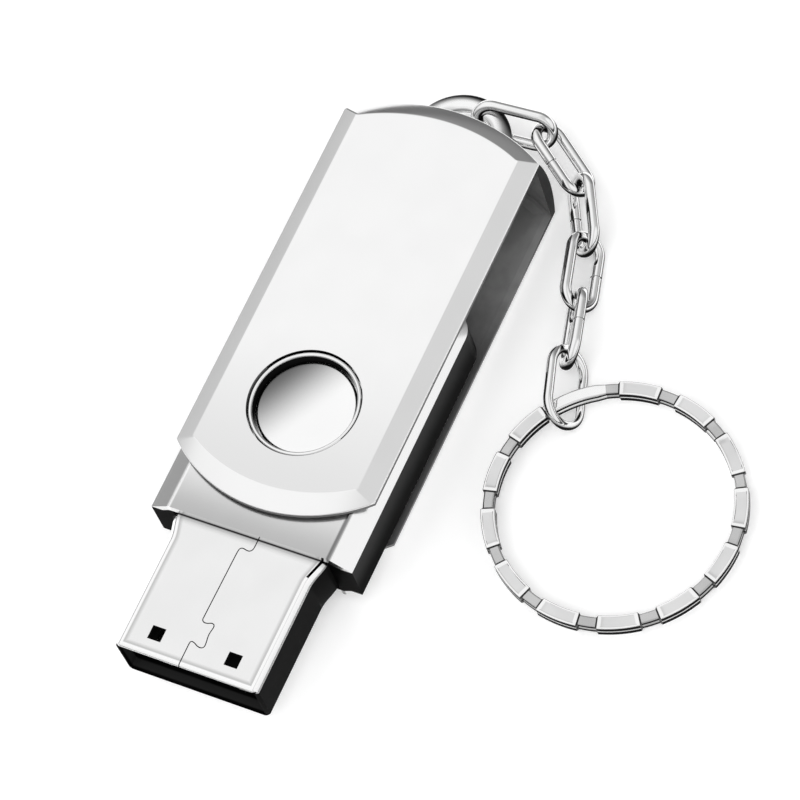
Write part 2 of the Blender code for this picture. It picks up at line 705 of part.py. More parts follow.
def build():
    clear_scene()
    parts = new_collection("usb_flash_drive")
    cutters = new_collection("cutters")

    make_cover(parts, cutters)
    make_pivot_ring("upper_pivot_ring", 1, parts)
    make_pivot_ring("lower_pivot_ring", -1, parts)
    make_key_loop(parts, cutters)

    drive = [
        make_casing("upper_casing", 1, parts, cutters),
        make_casing("lower_casing", -1, parts, cutters),
        make_frame(parts, cutters),
        make_pivot_disc("upper_pivot_disc", 1, parts),
        make_pivot_disc("lower_pivot_disc", -1, parts),
        make_plug_shell(parts, cutters),
        make_tongue(parts),
        *make_contacts(parts),
        *make_electronics(parts),
    ]
    swivel = bpy.data.objects.new("drive_swivel", None)
    swivel.location = PIVOT
    parts.objects.link(swivel)
    bpy.context.view_layer.update()
    for piece in drive:
        parent_keeping_place(piece, swivel)

    make_key_ring(parts, make_chain(parts))


build()
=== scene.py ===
"""The looks of the swivel USB flash drive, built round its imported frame. Metres, +Z up.

Every visible part is remade here as a finer mesh in the place that its CAD node holds: the
bent cover, the pivot, the body's casings and frame, the plug, the chain and the split ring.
The parts inside the body keep their CAD shapes and get materials.
"""

import json
from math import asin, cos, floor, pi, radians, sin, sqrt, tan

import bmesh
import bpy
import numpy as np
from mathutils import Euler, Matrix, Quaternion, Vector


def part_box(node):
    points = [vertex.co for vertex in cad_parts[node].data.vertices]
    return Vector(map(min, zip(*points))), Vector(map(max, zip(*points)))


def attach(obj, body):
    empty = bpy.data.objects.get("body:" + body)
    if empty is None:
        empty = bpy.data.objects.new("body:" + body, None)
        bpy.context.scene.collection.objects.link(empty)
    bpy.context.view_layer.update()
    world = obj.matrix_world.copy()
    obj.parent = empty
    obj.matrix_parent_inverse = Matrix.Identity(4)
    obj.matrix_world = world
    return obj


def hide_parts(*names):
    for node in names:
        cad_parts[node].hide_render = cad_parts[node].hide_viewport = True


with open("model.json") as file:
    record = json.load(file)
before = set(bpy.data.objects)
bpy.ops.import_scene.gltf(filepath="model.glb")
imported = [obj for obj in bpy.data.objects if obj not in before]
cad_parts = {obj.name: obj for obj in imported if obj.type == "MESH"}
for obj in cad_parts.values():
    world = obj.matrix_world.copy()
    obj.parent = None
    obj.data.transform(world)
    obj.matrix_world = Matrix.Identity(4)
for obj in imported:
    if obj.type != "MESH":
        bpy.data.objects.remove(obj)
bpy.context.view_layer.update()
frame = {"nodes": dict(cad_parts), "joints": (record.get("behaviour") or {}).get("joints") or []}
MM = 0.001

# Frame: the pivot and the chain's contact points are the joints' own points.
JOINTS = {joint["name"]: Vector(joint["pos_m"]) for joint in frame["joints"]}
PIVOT = JOINTS["drive_swivel"]
COVER_LOW, COVER_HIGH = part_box("swivel_cover")
COVER_THICK = COVER_HIGH.z
COVER_HALF = COVER_HIGH.y
COVER_NEAR = COVER_HIGH.x - PIVOT.x

# Cover: outline of the sheet's edge and of its flat face, from the pivot.
BEND_BULGE = 0.55 * MM
COVER_FAR = COVER_LOW.x - PIVOT.x + BEND_BULGE
COVER_EDGE = {"half": COVER_HALF, "near": COVER_NEAR, "near_corner": 5.6 * MM,
              "far": COVER_FAR, "far_corner": COVER_FAR + 2.38 * MM}
COVER_FLAT = {"half": COVER_HALF - 1.45 * MM, "near": COVER_NEAR - 1.72 * MM,
              "near_corner": 5.2 * MM, "far": COVER_FAR + 1.4 * MM,
              "far_corner": COVER_FAR + 2.98 * MM}
BEVEL_DEPTH = 0.7 * MM
EDGE_ROUND = 0.09 * MM
SHEET = 0.6 * MM
COVER_RIM = 0.35 * MM  # the plates' upright edge, past the bevel
BIGHT_REACH = 3.2 * MM  # from the bend's outside to past its inner face
POCKET_INSET = 0.12  # the share of the bevel that the pocket's upright wall starts at
ARC_STEPS = 64

# Pivot.
HOLE_RADIUS = 4.45 * MM
LIP_OUT, LIP_IN = 0.11 * MM, 0.43 * MM  # the hole lip's sides, in from the hole's edge
LIP_FLOAT = 0.15 * MM  # between the lip and the body
LIP_SINK = 0.1 * MM  # how far the lip is below the cover's face
STEM_RADIUS = 1.4 * MM
DISC_ROLL = 0.22 * MM
DISC_DISH = 0.1 * MM
ROUND_STEPS = 160

# Body.
CASING_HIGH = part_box("upper_casing")[1]
FRAME_LOW, FRAME_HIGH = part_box("body_frame")
BODY_FRONT = CASING_HIGH.x - PIVOT.x
BODY_REAR = PIVOT.x - FRAME_LOW.x
BODY_HALF_WIDTH = FRAME_HIGH.y
BODY_HALF_THICK = CASING_HIGH.z - PIVOT.z
BODY_CHAMFER = 1.75 * MM
FRAME_HALF_HEIGHT = 1.8 * MM
REAR_RADIUS = 2.0 * MM
CASING_TOP_WALL = 0.65 * MM
CASING_SIDE_WALL = 0.5 * MM
CASING_EDGE = 0.11 * MM
FRAME_WALL = 1.2 * MM
LEDGE_WIDTH = 0.9 * MM
GAP = 0.05 * MM  # between pieces that touch

# Plug.
SHELL_LOW, SHELL_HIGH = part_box("plug_shell")
PLUG_TIP = SHELL_HIGH.x - PIVOT.x
PLUG_REAR = SHELL_LOW.x - PIVOT.x
PLUG_FLARE = 0.45 * MM  # how much each side widens where the plug enters the body
PLUG_FLARE_END = 12.8 * MM
PLUG_HALF_WIDTH = SHELL_HIGH.y - PLUG_FLARE
PLUG_HALF_HEIGHT = SHELL_HIGH.z - PIVOT.z
PLUG_SHEET = 0.3 * MM
PLUG_CORNER = 0.45 * MM
WINDOW_SIZE = 1.1 * MM
WINDOW_X = 20.1 * MM
WINDOW_Y = 3.2 * MM
SEAM_WIDTH = 0.08 * MM
FLARE_START = BODY_FRONT - 0.2 * MM
FLARE_STEPS = 20
SLIT_LENGTH, SLIT_WIDTH, SLIT_TURN = 1.9 * MM, 0.2 * MM, -18.0
SLIT_X, SLIT_Y = 11.35 * MM, 5.85 * MM

# Key ring.
RING_OUTER = 10.0 * MM
RING_BAND = 1.1 * MM
RING_COIL = 0.55 * MM
RING_HEADING = 51.0
RING_GAP = 0.6 * MM
RING_LIFT = 1.05 * MM
RING_STEP_ANGLE = 24.0
RING_STEP_START = 96.0
RING_END_GAP = 2.0
PANEL_PITCH = 360.0 / 13
PANEL_LENGTH = 18.5
PANEL_BORDER = 1.3
PANEL_STEP = 0.8
PLAIN_START, PLAIN_STOP = 58.0, 86.0  # where a turn is plain, beside the last link

# Camera, as it looks at the middle of the drive.
CAMERA_AZIMUTH = 135.11
CAMERA_ELEVATION = 59.49
CAMERA_ROLL = 23.33
CAMERA_DISTANCE = 301.2 * MM
CAMERA_TARGET = Vector((5.0, 5.06, 4.3)) * MM
CAMERA_LENS = 180.48  # mm, on the default 36 mm sensor

# Studio.
SOFTBOX_AZIMUTH, SOFTBOX_ELEVATION = 100.0, 65.0
SOFTBOX_DISTANCE = 0.5
SOFTBOX_SIZE = 0.4
SOFTBOX_POWER = 0.9
FLOOR_HALF = 1.5


# ---------------------------------------------------------------- material nodes

class Nodes:
    """A short way to write a node tree: add() makes a node and sets or links its inputs."""

    def __init__(self, tree):
        self.tree = tree

    def add(self, kind, inputs=None, **settings):
        node = self.tree.nodes.new("ShaderNode" + kind)
        for key, value in settings.items():
            setattr(node, key, value)
        for key, value in (inputs or {}).items():
            socket = node.inputs[key]
            if isinstance(value, bpy.types.NodeSocket):
                self.tree.links.new(value, socket)
            else:
                socket.default_value = value
        return node

    def math(self, operation, a, b=0.0, clamp=False):
        node = self.add("Math", {0: a, 1: b}, operation=operation, use_clamp=clamp)
        return node.outputs[0]

    def ramp(self, value, low, high, out_low=0.0, out_high=1.0):
        """A smooth change from out_low to out_high as value goes from low to high."""
        node = self.add("MapRange", {"Value": value, "From Min": low, "From Max": high,
                                     "To Min": out_low, "To Max": out_high},
                        interpolation_type="SMOOTHSTEP")
        return node.outputs[0]

    def noise(self, vector, scale, detail=2.0, roughness=0.5):
        node = self.add("TexNoise", {"Vector": vector, "Scale": scale, "Detail": detail,
                                     "Roughness": roughness})
        return node.outputs["Fac"]


# The Mix node has one socket of each name for each data type, so its colours go by index.
MIX_FACTOR, MIX_A, MIX_B, MIX_RESULT = 0, 6, 7, 2


def grey(value):
    return (value, value, value, 1.0)


def mix_colours(nodes, factor, a, b):
    node = nodes.add("Mix", {MIX_FACTOR: factor, MIX_A: a, MIX_B: b}, data_type="RGBA")
    return node.outputs[MIX_RESULT]


def start_material(name):
    material = bpy.data.materials.new(name)
    material.use_nodes = True
    material.node_tree.nodes.clear()
    nodes = Nodes(material.node_tree)
    coords = nodes.add("TexCoord")
    return material, nodes, coords.outputs["Object"], coords.outputs["Normal"]


def end_material(nodes, inputs):
    shader = nodes.add("BsdfPrincipled", inputs)
    nodes.add("OutputMaterial", {"Surface": shader.outputs[0]})


def scratches(nodes, place, stretch, scale, strength, distance=0.002 * MM):
    """Fine lines along one axis, as a bump."""
    stretched = nodes.add("Mapping", {"Vector": place, "Scale": stretch}).outputs[0]
    lines = nodes.noise(stretched, scale, 3.0, 0.6)
    bump = nodes.add("Bump", {"Strength": strength, "Distance": distance, "Height": lines})
    return bump.outputs[0], lines


def metal(name, dark, light, roughness, spread=0.03, stretch=(1.0, 1.0, 1.0), fine=9000.0,
          bump=0.05, shade=None, painted_dark_reflection=None):
    """Plated metal: cloudy tone, uneven polish and hair-fine lines. shade(nodes, place,
    normal, colour) may paint light and shade into the colour by the piece's own place and
    normal. The last argument, an axis and a range, paints a dark reflection: the metal is
    painted black where the normal falls below the range."""
    material, nodes, place, normal = start_material(name)
    cloud = nodes.noise(place, 260.0, 4.0)
    colour = mix_colours(nodes, nodes.ramp(cloud, 0.3, 0.7), grey(dark), grey(light))
    if shade:
        colour = shade(nodes, place, normal, colour)
    bumped, lines = scratches(nodes, place, stretch, fine, bump)
    polish = nodes.ramp(lines, 0.25, 0.75, roughness, roughness + spread)
    inputs = {"Base Color": colour, "Metallic": 1.0, "Roughness": polish, "Normal": bumped}
    if painted_dark_reflection:
        axis, low, high = painted_dark_reflection
        level = axis_of(nodes, normal, axis)
        if axis == 2:
            level = nodes.math("ABSOLUTE", level)
        # Painted dark reflection: below the range the metal is painted black and is not
        # metallic.
        bright_metal_share = nodes.ramp(level, low, high)
        inputs["Metallic"] = bright_metal_share
        inputs["Base Color"] = mix_colours(nodes, bright_metal_share, grey(0.008), colour)
        inputs["Specular IOR Level"] = 0.004
    end_material(nodes, inputs)
    return material


def plastic(name, dark, light, roughness, specular=0.3, grain=14000.0, bump=0.1, shade=None):
    """Moulded plastic: a fine spark-eroded grain and a slightly uneven tone."""
    material, nodes, place, normal = start_material(name)
    cloud = nodes.noise(place, 400.0, 3.0)
    colour = mix_colours(nodes, nodes.ramp(cloud, 0.35, 0.65), dark, light)
    if shade:
        colour = shade(nodes, place, normal, colour)
    pits = nodes.noise(place, grain, 2.0)
    bumped = nodes.add("Bump", {"Strength": bump, "Distance": 0.003 * MM,
                                "Height": pits}).outputs[0]
    gloss = nodes.ramp(pits, 0.3, 0.7, roughness, roughness + 0.08)
    end_material(nodes, {"Base Color": colour, "Roughness": gloss, "Normal": bumped,
                         "Specular IOR Level": specular})
    return material


def axis_of(nodes, vector, axis):
    return nodes.add("SeparateXYZ", {0: vector}).outputs[axis]


def disc_painted_reflection(nodes, place, normal, colour):
    """A painted reflection: the spun disc's colour is painted from dark to bright across it."""
    along = nodes.math("SUBTRACT", axis_of(nodes, place, 0), PIVOT.x)
    across = nodes.math("ADD", nodes.math("MULTIPLY", along, 0.5),
                        nodes.math("MULTIPLY", axis_of(nodes, place, 1), 0.87))
    share = nodes.ramp(across, -3.9 * MM, 0.9 * MM)
    return mix_colours(nodes, share, grey(0.13), colour)


def casing_painted_light(nodes, place, normal, colour):
    """Painted light and shade: the satin top is painted darker towards its front edge, the
    chamfer facing -Y darker yet and the one facing +Y near white, with a painted dark line along
    the +Y ridge and a painted highlight along the -Y ridge.
    """
    along = axis_of(nodes, place, 0)
    # Painted shade: the flat top is painted darker towards its front edge.
    edge = nodes.ramp(along, PIVOT.x + 6.5 * MM, PIVOT.x + BODY_FRONT, 0.0, 0.75)
    flat = nodes.ramp(nodes.math("ABSOLUTE", axis_of(nodes, normal, 2)), 0.88, 0.97)
    colour = mix_colours(nodes, nodes.math("MULTIPLY", edge, flat), colour, grey(0.42))
    # Painted shade on the chamfer facing -Y, and a painted highlight on the one facing +Y.
    painted_away_shade = nodes.ramp(axis_of(nodes, normal, 1), -0.5, -0.2, 0.75, 0.0)
    colour = mix_colours(nodes, painted_away_shade, colour, grey(0.28))
    painted_near_highlight = nodes.ramp(axis_of(nodes, normal, 1), 0.2, 0.5)
    colour = mix_colours(nodes, painted_near_highlight, colour, grey(0.97))
    # Painted light: a dark line along the +Y ridge and a highlight along the -Y ridge.
    ridge = BODY_HALF_WIDTH - BODY_CHAMFER
    for side, tone in ((1, grey(0.1)), (-1, grey(1.0))):
        off = nodes.math("SUBTRACT", axis_of(nodes, place, 1), side * ridge)
        line = nodes.ramp(nodes.math("ABSOLUTE", off), 0.06 * MM, 0.24 * MM, 0.8, 0.0)
        colour = mix_colours(nodes, line, colour, tone)
    return colour


def cover_painted_shade(nodes, place, normal, colour):
    """Painted shade: the flat faces are painted a little darker towards the near end."""
    share = nodes.ramp(axis_of(nodes, place, 0), PIVOT.x - 6 * MM, PIVOT.x + 7.5 * MM)
    flat = nodes.ramp(nodes.math("ABSOLUTE", axis_of(nodes, normal, 2)), 0.93, 0.98)
    return mix_colours(nodes, nodes.math("MULTIPLY", share, flat), colour, grey(0.8))


def inside_gradient(nodes, place, normal, colour):
    """Less light finds its way in under the drive, but the plates' edges stay lighter."""
    lower = nodes.ramp(axis_of(nodes, place, 2), PIVOT.z - 1 * MM, PIVOT.z + 1 * MM, 1.0, 0.0)
    share = nodes.math("MULTIPLY", lower,
                       nodes.ramp(axis_of(nodes, place, 0), -8 * MM, 2 * MM))
    colour = mix_colours(nodes, share, colour, grey(0.006))
    across = nodes.math("ABSOLUTE", axis_of(nodes, place, 1))
    edge = nodes.ramp(across, COVER_HALF - 0.9 * MM, COVER_HALF)
    return mix_colours(nodes, nodes.math("MULTIPLY", edge, share), colour, grey(0.09))


def cut_painted_shade(nodes, place, normal, colour):
    """Painted shade: the cut edges are painted darker round the bend."""
    share = nodes.ramp(axis_of(nodes, place, 0), -15 * MM, -8 * MM, 1.0, 0.0)
    return mix_colours(nodes, share, colour, grey(0.022))


def frame_painted_sheen(nodes, place, normal, colour):
    """Painted sheen: the black sides are painted a little lighter along their upper edge, and
    the front isn't.
    """
    height = nodes.math("SUBTRACT", axis_of(nodes, place, 2), PIVOT.z)
    upper_edge_sheen = nodes.ramp(height, -1.3 * MM, 1.8 * MM)
    side = nodes.ramp(axis_of(nodes, normal, 0), 0.5, 0.9, 1.0, 0.0)
    return mix_colours(nodes, nodes.math("MULTIPLY", upper_edge_sheen, side), colour, grey(0.042))


def plug_painted_light(nodes, place, normal, colour):
    """Painted light and shade: the shell's bent edges are painted brighter than its flat top,
    past a faint painted dark line, and the top is painted darker next to the body, with a
    painted contact shadow where it meets the body.
    """
    along = axis_of(nodes, place, 0)
    across = nodes.math("ABSOLUTE", axis_of(nodes, place, 1))
    half = nodes.ramp(along, PIVOT.x + FLARE_START, PIVOT.x + PLUG_FLARE_END,
                      PLUG_HALF_WIDTH + PLUG_FLARE, PLUG_HALF_WIDTH)
    to_side = nodes.math("SUBTRACT", half, across)
    to_tip = nodes.math("SUBTRACT", PIVOT.x + PLUG_TIP, along)
    to_edge = nodes.math("MINIMUM", to_side, nodes.math("ADD", to_tip, 0.25 * MM))
    # A faint painted dark line inside the bent edges, then a painted highlight on them.
    line = nodes.ramp(to_edge, 0.6 * MM, 1.05 * MM, 0.8, 0.0)
    colour = mix_colours(nodes, line, colour, grey(0.42))
    colour = mix_colours(nodes, nodes.ramp(to_edge, 0.58 * MM, 0.72 * MM, 1.0, 0.0), colour,
                         grey(1.0))
    # Painted shade where the top nears the body, and a painted contact shadow right at its edge.
    body = PIVOT.x + BODY_FRONT
    near = nodes.ramp(along, body + 0.1 * MM, body + 0.7 * MM, 0.5, 0.0)
    colour = mix_colours(nodes, near, colour, grey(0.4))
    painted_contact_shadow = nodes.ramp(along, body + 0.03 * MM, body + 0.14 * MM, 1.0, 0.0)
    return mix_colours(nodes, painted_contact_shadow, colour, grey(0.08))


def mouth_painted_light(nodes, place, normal, colour):
    """Painted light: light falls a little way into the plug's mouth, on the lower sheet, painted
    there as a lighter tone.
    """
    depth = nodes.math("SUBTRACT", PIVOT.x + PLUG_TIP, axis_of(nodes, place, 0))
    front = nodes.ramp(depth, 0.15 * MM, 0.35 * MM)
    back = nodes.ramp(depth, 0.8 * MM, 1.0 * MM, 1.0, 0.0)
    return mix_colours(nodes, nodes.math("MULTIPLY", front, back), colour, grey(0.022))


def board_tracks(nodes, place, normal, colour):
    """Copper tracks show through the solder mask as lighter lines."""
    lanes = nodes.add("TexBrick", {"Vector": place, "Scale": 420.0, "Mortar Size": 0.08,
                                   "Brick Width": 1.9, "Row Height": 0.42})
    return mix_colours(nodes, lanes.outputs["Fac"], colour, (0.05, 0.3, 0.1, 1.0))


# Several of these paint light and shade into their colour through their shade functions. The
# pivot, disc, plug, wire, ring and its necks are painted black on their upright faces, and the
# loop on its outward side, as a painted dark reflection.
MATERIALS = {
    "cover": metal("cover_chrome", 0.93, 0.95, 0.1, 0.02, (1, 6, 6), 5000.0, 0.02,
                   cover_painted_shade),
    "cover_inside": plastic("cover_inner_steel", grey(0.24), grey(0.3), 0.42, 0.2, 6000.0,
                            shade=inside_gradient),
    "cover_cut": plastic("cover_cut_edge", grey(0.16), grey(0.2), 0.4, 0.05, 6000.0,
                         shade=cut_painted_shade),
    "pivot": metal("pivot_chrome", 0.92, 0.96, 0.08, painted_dark_reflection=(2, 0.1, 0.4)),
    "disc": metal("disc_metal", 0.98, 1.0, 0.2, 0.04, (7, 1, 1), 6000.0, 0.04,
                  disc_painted_reflection, (2, 0.1, 0.4)),
    "casing": metal("casing_satin", 0.8, 0.84, 0.16, 0.05, (1, 8, 8), 8000.0, 0.06,
                    casing_painted_light),
    "frame": plastic("frame_black", grey(0.0015), grey(0.003), 0.3, 0.004,
                     shade=frame_painted_sheen),
    "plug": metal("plug_steel", 0.86, 0.89, 0.14, 0.03, (1, 7, 7), 9000.0, 0.03,
                  plug_painted_light, (2, 0.42, 0.58)),
    # The plug's inner faces: painted shade, near black.
    "plug_inside_painted_shade": plastic("plug_inner_painted_shade", grey(0.001), grey(0.003), 0.4, 0.006,
                           shade=mouth_painted_light),
    "tongue": plastic("tongue_black", grey(0.012), grey(0.018), 0.35, 0.02),
    "gold": metal("contact_gold", 0.6, 0.7, 0.2),
    "wire": metal("wire_chrome", 0.9, 0.95, 0.05, 0.02, (1, 1, 1), 7000.0, 0.02,
                  painted_dark_reflection=(2, 0.2, 0.55)),
    "loop": metal("loop_chrome", 0.92, 0.96, 0.05, 0.02, (1, 1, 1), 7000.0, 0.02,
                  painted_dark_reflection=(0, -0.5, 0.2)),
    "ring": metal("ring_chrome", 0.9, 0.95, 0.07, 0.03, (1, 1, 1), 7000.0, 0.03,
                  painted_dark_reflection=(2, 0.2, 0.6)),
    "ring_stamped": metal("ring_stamped", 0.72, 0.78, 0.28, 0.05, (1, 1, 1), 9000.0, 0.1),
    "ring_neck": metal("ring_neck", 0.5, 0.6, 0.12, 0.04, (1, 1, 1), 7000.0, 0.03,
                       painted_dark_reflection=(2, 0.2, 0.7)),
    # Painted shade for the steps at the ends of the ring's panels.
    "ring_step_painted_shade": metal("ring_step_painted_shade", 0.03, 0.05, 0.3),
    "board": plastic("board_green", (0.01, 0.1, 0.035, 1), (0.015, 0.14, 0.05, 1), 0.3,
                     shade=board_tracks),
    "chip": plastic("chip_black", grey(0.015), grey(0.022), 0.5),
    "can": metal("crystal_metal", 0.6, 0.7, 0.25),
    "capacitor": plastic("capacitor_tan", (0.42, 0.27, 0.13, 1), (0.55, 0.37, 0.2, 1), 0.45),
    "resistor": plastic("resistor_black", grey(0.02), grey(0.035), 0.5),
}


# ---------------------------------------------------------------- mesh helpers

def object_from_bmesh(bm, name, material):
    bmesh.ops.recalc_face_normals(bm, faces=bm.faces)
    mesh = bpy.data.meshes.new(name)
    bm.to_mesh(mesh)
    bm.free()
    obj = bpy.data.objects.new(name, mesh)
    bpy.context.scene.collection.objects.link(obj)
    if material:
        mesh.materials.append(MATERIALS[material])
    return obj


def apply_modifiers(obj):
    """The object keeps its evaluated mesh, with no modifiers left."""
    bpy.context.view_layer.update()
    evaluated = obj.evaluated_get(bpy.context.evaluated_depsgraph_get())
    mesh = bpy.data.meshes.new_from_object(evaluated)
    obj.modifiers.clear()
    obj.data = mesh
    return obj


def round_edges(obj, width, segments=3, angle=28.0):
    edge = obj.modifiers.new("edge", "BEVEL")
    edge.width = width
    edge.segments = segments
    edge.limit_method = "ANGLE"
    edge.angle_limit = radians(angle)
    edge.use_clamp_overlap = True
    apply_modifiers(obj)


def smooth(obj, angle=30.0):
    """Smooth shading between sharp edges, with flat faces kept flat."""
    obj.data.shade_smooth()
    obj.data.set_sharp_from_angle(angle=radians(angle))
    even = obj.modifiers.new("even_normals", "WEIGHTED_NORMAL")
    even.keep_sharp = True
    apply_modifiers(obj)


def loft(name, rings, material=None, wrap=False):
    """A solid through rings of equal length: capped at both ends, or wrapped into a tube."""
    bm = bmesh.new()
    loops = [[bm.verts.new(point) for point in ring] for ring in rings]
    pairs = list(zip(loops, loops[1:]))
    if wrap:
        pairs.append((loops[-1], loops[0]))
    else:
        bm.faces.new(loops[0])
        bm.faces.new(loops[-1])
    count = len(rings[0])
    for low, high in pairs:
        for i in range(count):
            j = (i + 1) % count
            bm.faces.new((low[i], low[j], high[j], high[i]))
    return object_from_bmesh(bm, name, material)


def box(name, low, high):
    bm = bmesh.new()
    bmesh.ops.create_cube(bm, size=1.0)
    low, high = Vector(low), Vector(high)
    for vert in bm.verts:
        vert.co = (low + high) / 2 + Vector(a * b for a, b in zip(vert.co, high - low))
    return object_from_bmesh(bm, name, None)


def cylinder(name, centre, axis, radius, depth, segments=64):
    bm = bmesh.new()
    bmesh.ops.create_cone(bm, cap_ends=True, segments=segments, radius1=radius,
                          radius2=radius, depth=depth)
    turn = Vector((0, 0, 1)).rotation_difference(Vector(axis)).to_matrix().to_4x4()
    bm.transform(Matrix.Translation(centre) @ turn)
    return object_from_bmesh(bm, name, None)


def carve(obj, tool, operation="DIFFERENCE"):
    """Cuts the tool from the object, or joins it, and removes the tool."""
    modifier = obj.modifiers.new("carve", "BOOLEAN")
    modifier.operation = operation
    modifier.object = tool
    modifier.solver = "EXACT"
    apply_modifiers(obj)
    bpy.data.objects.remove(tool)


def ease(share):
    """A smooth step: 0 up to a share of 0, and 1 from a share of 1."""
    share = min(1.0, max(0.0, share))
    return share * share * (3 - 2 * share)


def arc(centre, radius, start, end, steps):
    """Points of an arc, angles in degrees."""
    angles = [radians(start + (end - start) * i / steps) for i in range(steps + 1)]
    return [(centre[0] + radius * cos(a), centre[1] + radius * sin(a)) for a in angles]


def turned(name, profile, side, material):
    """A ring or disc about the pivot's axis. profile is a closed outline of (radius, height)
    points. A point on the axis closes the disc. side is 1 above and -1 below."""
    rings = []
    for r, z in profile:
        rings.append([Vector((PIVOT.x + x, PIVOT.y + y, PIVOT.z + side * z))
                      for x, y in arc((0, 0), max(r, 0.001 * MM), 0, 360, ROUND_STEPS)[:-1]])
    hollow = profile[0][0] > 0
    return loft(name, rings, material, wrap=hollow)


def sweep(name, stations, material, closed=False):
    """A wire through stations, each a centre, two cross axes and an outline of (a, b) points."""
    rings = []
    for centre, across, up, outline in stations:
        rings.append([centre + across * a + up * b for a, b in outline])
    return loft(name, rings, material, wrap=closed)


def place(obj, body, slot, *nodes):
    """The piece rides on a body and stands for its CAD nodes. Its slot is not used."""
    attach(obj, body)
    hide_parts(*nodes)
    return obj


# ---------------------------------------------------------------- cover

def end_arc(corner_x, apex_x, half, sign):
    """An arc across the plate from y = -sign * half to y = sign * half."""
    sag = abs(apex_x - corner_x)
    radius = (half * half + sag * sag) / (2 * sag)
    direction = 1.0 if apex_x > corner_x else -1.0
    centre_x = apex_x - direction * radius
    span = asin(half / radius)
    points = []
    for i in range(ARC_STEPS + 1):
        a = sign * span * (2 * i / ARC_STEPS - 1)
        points.append((centre_x + direction * radius * cos(a), radius * sin(a)))
    return points


def cover_ring(inset, z, far_shift=0.0):
    """The cover's outline at a height. inset is 0 at its edge and 1 at its flat face."""
    size = {k: COVER_EDGE[k] + (COVER_FLAT[k] - COVER_EDGE[k]) * inset for k in COVER_EDGE}
    near = end_arc(size["near_corner"], size["near"], size["half"], 1)
    far = end_arc(size["far_corner"] - far_shift, size["far"] - far_shift, size["half"], -1)
    return [Vector((PIVOT.x + x, y, z)) for x, y in near + far]


def rounded(points, reach, steps=4):
    """The line with each inner corner replaced by a small curve."""
    line = [points[0]]
    for before, corner, after in zip(points, points[1:], points[2:]):
        start = corner + (before - corner).normalized() * reach
        end = corner + (after - corner).normalized() * reach
        for i in range(steps + 1):
            t = i / steps
            line.append(start * (1 - t) ** 2 + corner * (2 * t * (1 - t)) + end * t ** 2)
    return [*line, points[-1]]


def cover_rings():
    """Rings up the outside of the cover: flat face, bevel, bulging wall, bevel, flat face."""
    slope = COVER_EDGE["half"] - COVER_FLAT["half"]
    middle = COVER_THICK / 2
    corners = [Vector((2 * slope, 0)), Vector((slope, 0)), Vector((0, BEVEL_DEPTH)),
               Vector((0, middle))]
    line = rounded(corners, EDGE_ROUND)[:-1]
    top = line[-1].y
    line += [Vector((0, top + (middle - top) * i / 6)) for i in range(1, 6)]
    line += [Vector((d, COVER_THICK - z)) for d, z in [Vector((0, middle)), *reversed(line)]]
    rings = []
    for d, z in line:
        share = (z - BEVEL_DEPTH) / (COVER_THICK - 2 * BEVEL_DEPTH)
        bulge = max(0.0, BEND_BULGE * (1 - (2 * share - 1) ** 2))
        rings.append(cover_ring(d / slope, z, bulge))
    return rings


def paint_cover(obj):
    """The sheet's inner faces are unpolished, and its cut edges are dull."""
    obj.data.materials.append(MATERIALS["cover_inside"])
    obj.data.materials.append(MATERIALS["cover_cut"])
    middle = COVER_THICK / 2
    bight_inside = PIVOT.x + COVER_FAR + BIGHT_REACH
    for face in obj.data.polygons:
        height = abs(face.center.z - middle)
        faces_in = face.normal.z * (middle - face.center.z) > 0.2 * middle
        in_bight = face.normal.x > 0.3 and face.center.x < bight_inside
        upright = abs(face.normal.z) < 0.3 and face.normal.x > -0.5
        at_rim = middle - BEVEL_DEPTH - 1.1 * COVER_RIM < height < middle - 0.8 * BEVEL_DEPTH
        cut_end = abs(face.normal.y) > 0.9 and abs(face.normal.z) < 0.3
        if (upright and at_rim and not in_bight) or cut_end:
            face.material_index = 2
        elif faces_in or in_bight:
            face.material_index = 1


def make_cover():
    """A solid with a pocket and a slot in it, which leave the bent sheet, and its holes."""
    top = COVER_THICK
    edge = BEVEL_DEPTH
    cover = loft("cover_sheet", cover_rings(), "cover")

    slope = COVER_EDGE["half"] - COVER_FLAT["half"]
    shift = SHEET * sqrt(1 + (edge / slope) ** 2)
    pocket_low = edge * (1 - POCKET_INSET) + shift
    floor_inset = 1 - (SHEET - shift) / edge
    wall_shift = POCKET_INSET * (COVER_FLAT["far"] - COVER_EDGE["far"]) - SHEET
    carve(cover, loft("cover_pocket", [
        cover_ring(floor_inset, SHEET),
        cover_ring(POCKET_INSET, pocket_low, wall_shift),
        cover_ring(POCKET_INSET, top - pocket_low, wall_shift),
        cover_ring(floor_inset, top - SHEET),
    ]))

    slot_low = edge + COVER_RIM
    side = 2 * COVER_HALF
    front = PIVOT.x + 2 * COVER_NEAR
    far = end_arc(COVER_EDGE["far_corner"] + SHEET, COVER_FAR + SHEET, COVER_HALF, -1)
    outline = [(front, -side), (front, side), (PIVOT.x + far[0][0], side)]
    outline += [(PIVOT.x + x, y) for x, y in far] + [(PIVOT.x + far[-1][0], -side)]
    carve(cover, loft("cover_slot", [[Vector((x, y, z)) for x, y in outline]
                                     for z in (slot_low, top - slot_low)]))
    carve(cover, cylinder("cover_hole", PIVOT, (0, 0, 1), HOLE_RADIUS, 3 * COVER_THICK,
                          ROUND_STEPS))
    low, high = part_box("key_loop")
    wire_radius = (high.z - low.z) / 2
    for y in (low.y + wire_radius, high.y - wire_radius):
        centre = (COVER_LOW.x, y, PIVOT.z)
        carve(cover, cylinder("loop_hole", centre, (1, 0, 0), wire_radius + GAP, 4 * MM, 48))
    smooth(cover, 30.0)
    paint_cover(cover)
    return place(cover, "cover", "cover_chrome", "swivel_cover")


# ---------------------------------------------------------------- pivot

